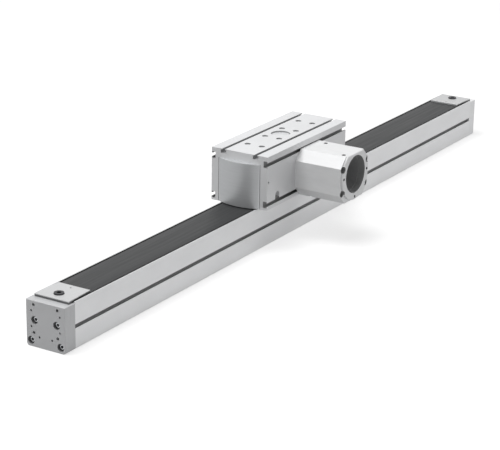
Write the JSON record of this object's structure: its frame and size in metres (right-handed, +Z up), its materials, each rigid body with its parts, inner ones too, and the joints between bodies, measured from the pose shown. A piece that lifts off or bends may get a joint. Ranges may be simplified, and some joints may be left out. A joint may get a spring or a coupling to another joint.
{
  "type": "cantilever belt actuator",
  "caption": "Linear actuator whose long beam slides through a fixed belt-drive head, with a coupling housing on the side.",
  "frame": {"origin": "underside of the beam, midway across it and under the middle of the drive head", "axes": "+X along the beam from its near (front) end to its far (rear) end, -Y towards the coupling housing, +Z up out of the drive head's roof"},
  "size_m": [1.155, 0.168, 0.1424],
  "materials": {
    "anodised_housing": "satin",
    "anodised_beam": "satin",
    "machined_aluminium": "satin",
    "bright_cover": "polished",
    "steel": "brushed",
    "roller_aluminium": "satin",
    "zinc_screws": "zinc plated",
    "black_screws": "black oxide",
    "belt": "matt",
    "dark_plastic": "matt"
  },
  "bodies": {
    "head": {"head_housing": "anodised_housing", "end_cover_front": "bright_cover", "end_cover_rear": "bright_cover", "end_cover_screws": "zinc_screws", "coupling_housing": "machined_aluminium", "coupling_housing_screws": "zinc_screws", "saddle": "machined_aluminium", "saddle_screws": "zinc_screws", "carriage_front": "steel", "carriage_rear": "steel", "carriage_seals": "dark_plastic", "carriage_screws": "zinc_screws", "bearing_outer_rings": "steel", "lift_roller_axles": "steel", "wrap_roller_axles": "steel", "belt_loop": "belt"},
    "beam": {"beam_profile": "anodised_beam", "guide_rail": "steel", "guide_rail_screws": "zinc_screws", "end_cap_front": "machined_aluminium", "end_cap_rear": "machined_aluminium", "end_cap_screws": "zinc_screws", "belt_clamp_front": "machined_aluminium", "belt_clamp_rear": "machined_aluminium", "belt_clamp_screws": "black_screws", "belt_anchor_front": "machined_aluminium", "belt_anchor_rear": "machined_aluminium", "belt_pins": "steel", "belt_run_front": "belt", "belt_run_rear": "belt", "clamp_pad_front": "dark_plastic", "clamp_pad_rear": "dark_plastic"},
    "pulley": {"drive_pulley": "roller_aluminium", "pulley_flanges": "steel", "drive_shaft": "steel", "shaft_key": "steel", "shaft_spacers": "steel", "bearing_inner_rings": "steel", "coupling_hub": "roller_aluminium", "coupling_clamp_screw": "zinc_screws"},
    "lift_roller_front": {"lift_roller_front": "roller_aluminium"},
    "lift_roller_rear": {"lift_roller_rear": "roller_aluminium"},
    "wrap_roller_front": {"wrap_roller_front": "roller_aluminium"},
    "wrap_roller_rear": {"wrap_roller_rear": "roller_aluminium"}
  },
  "joints": [
    {"name": "beam_slide", "type": "slide", "parent": "head", "child": "beam", "axis": [1, 0, 0], "range_m": [-0.4127, 0.3673], "deforming": ["belt_run_front", "belt_run_rear"]},
    {"name": "pulley_spin", "type": "hinge", "parent": "head", "child": "pulley", "pos_m": [0.0055, 0, 0.1017], "axis": [0, 1, 0], "range_deg": [-1070, 950], "deforming": ["belt_loop"]},
    {"name": "lift_roller_front_spin", "type": "hinge", "parent": "head", "child": "lift_roller_front", "pos_m": [-0.0832, 0, 0.0806], "axis": [0, 1, 0], "range_deg": [-1170, 1310]},
    {"name": "lift_roller_rear_spin", "type": "hinge", "parent": "head", "child": "lift_roller_rear", "pos_m": [0.0832, 0, 0.0806], "axis": [0, 1, 0], "range_deg": [-1170, 1310]},
    {"name": "wrap_roller_front_spin", "type": "hinge", "parent": "head", "child": "wrap_roller_front", "pos_m": [-0.0295, 0, 0.097], "axis": [0, 1, 0], "range_deg": [-2140, 2400]},
    {"name": "wrap_roller_rear_spin", "type": "hinge", "parent": "head", "child": "wrap_roller_rear", "pos_m": [0.0405, 0, 0.097], "axis": [0, 1, 0], "range_deg": [-2140, 2400]}
  ],
  "couplings": [
    {"joint": "pulley_spin", "follows": "beam_slide", "rad_per_m": 44.88},
    {"joint": "lift_roller_front_spin", "follows": "beam_slide", "rad_per_m": -54.945},
    {"joint": "lift_roller_rear_spin", "follows": "beam_slide", "rad_per_m": -54.945},
    {"joint": "wrap_roller_front_spin", "follows": "beam_slide", "rad_per_m": -101.01},
    {"joint": "wrap_roller_rear_spin", "follows": "beam_slide", "rad_per_m": -101.01}
  ]
}
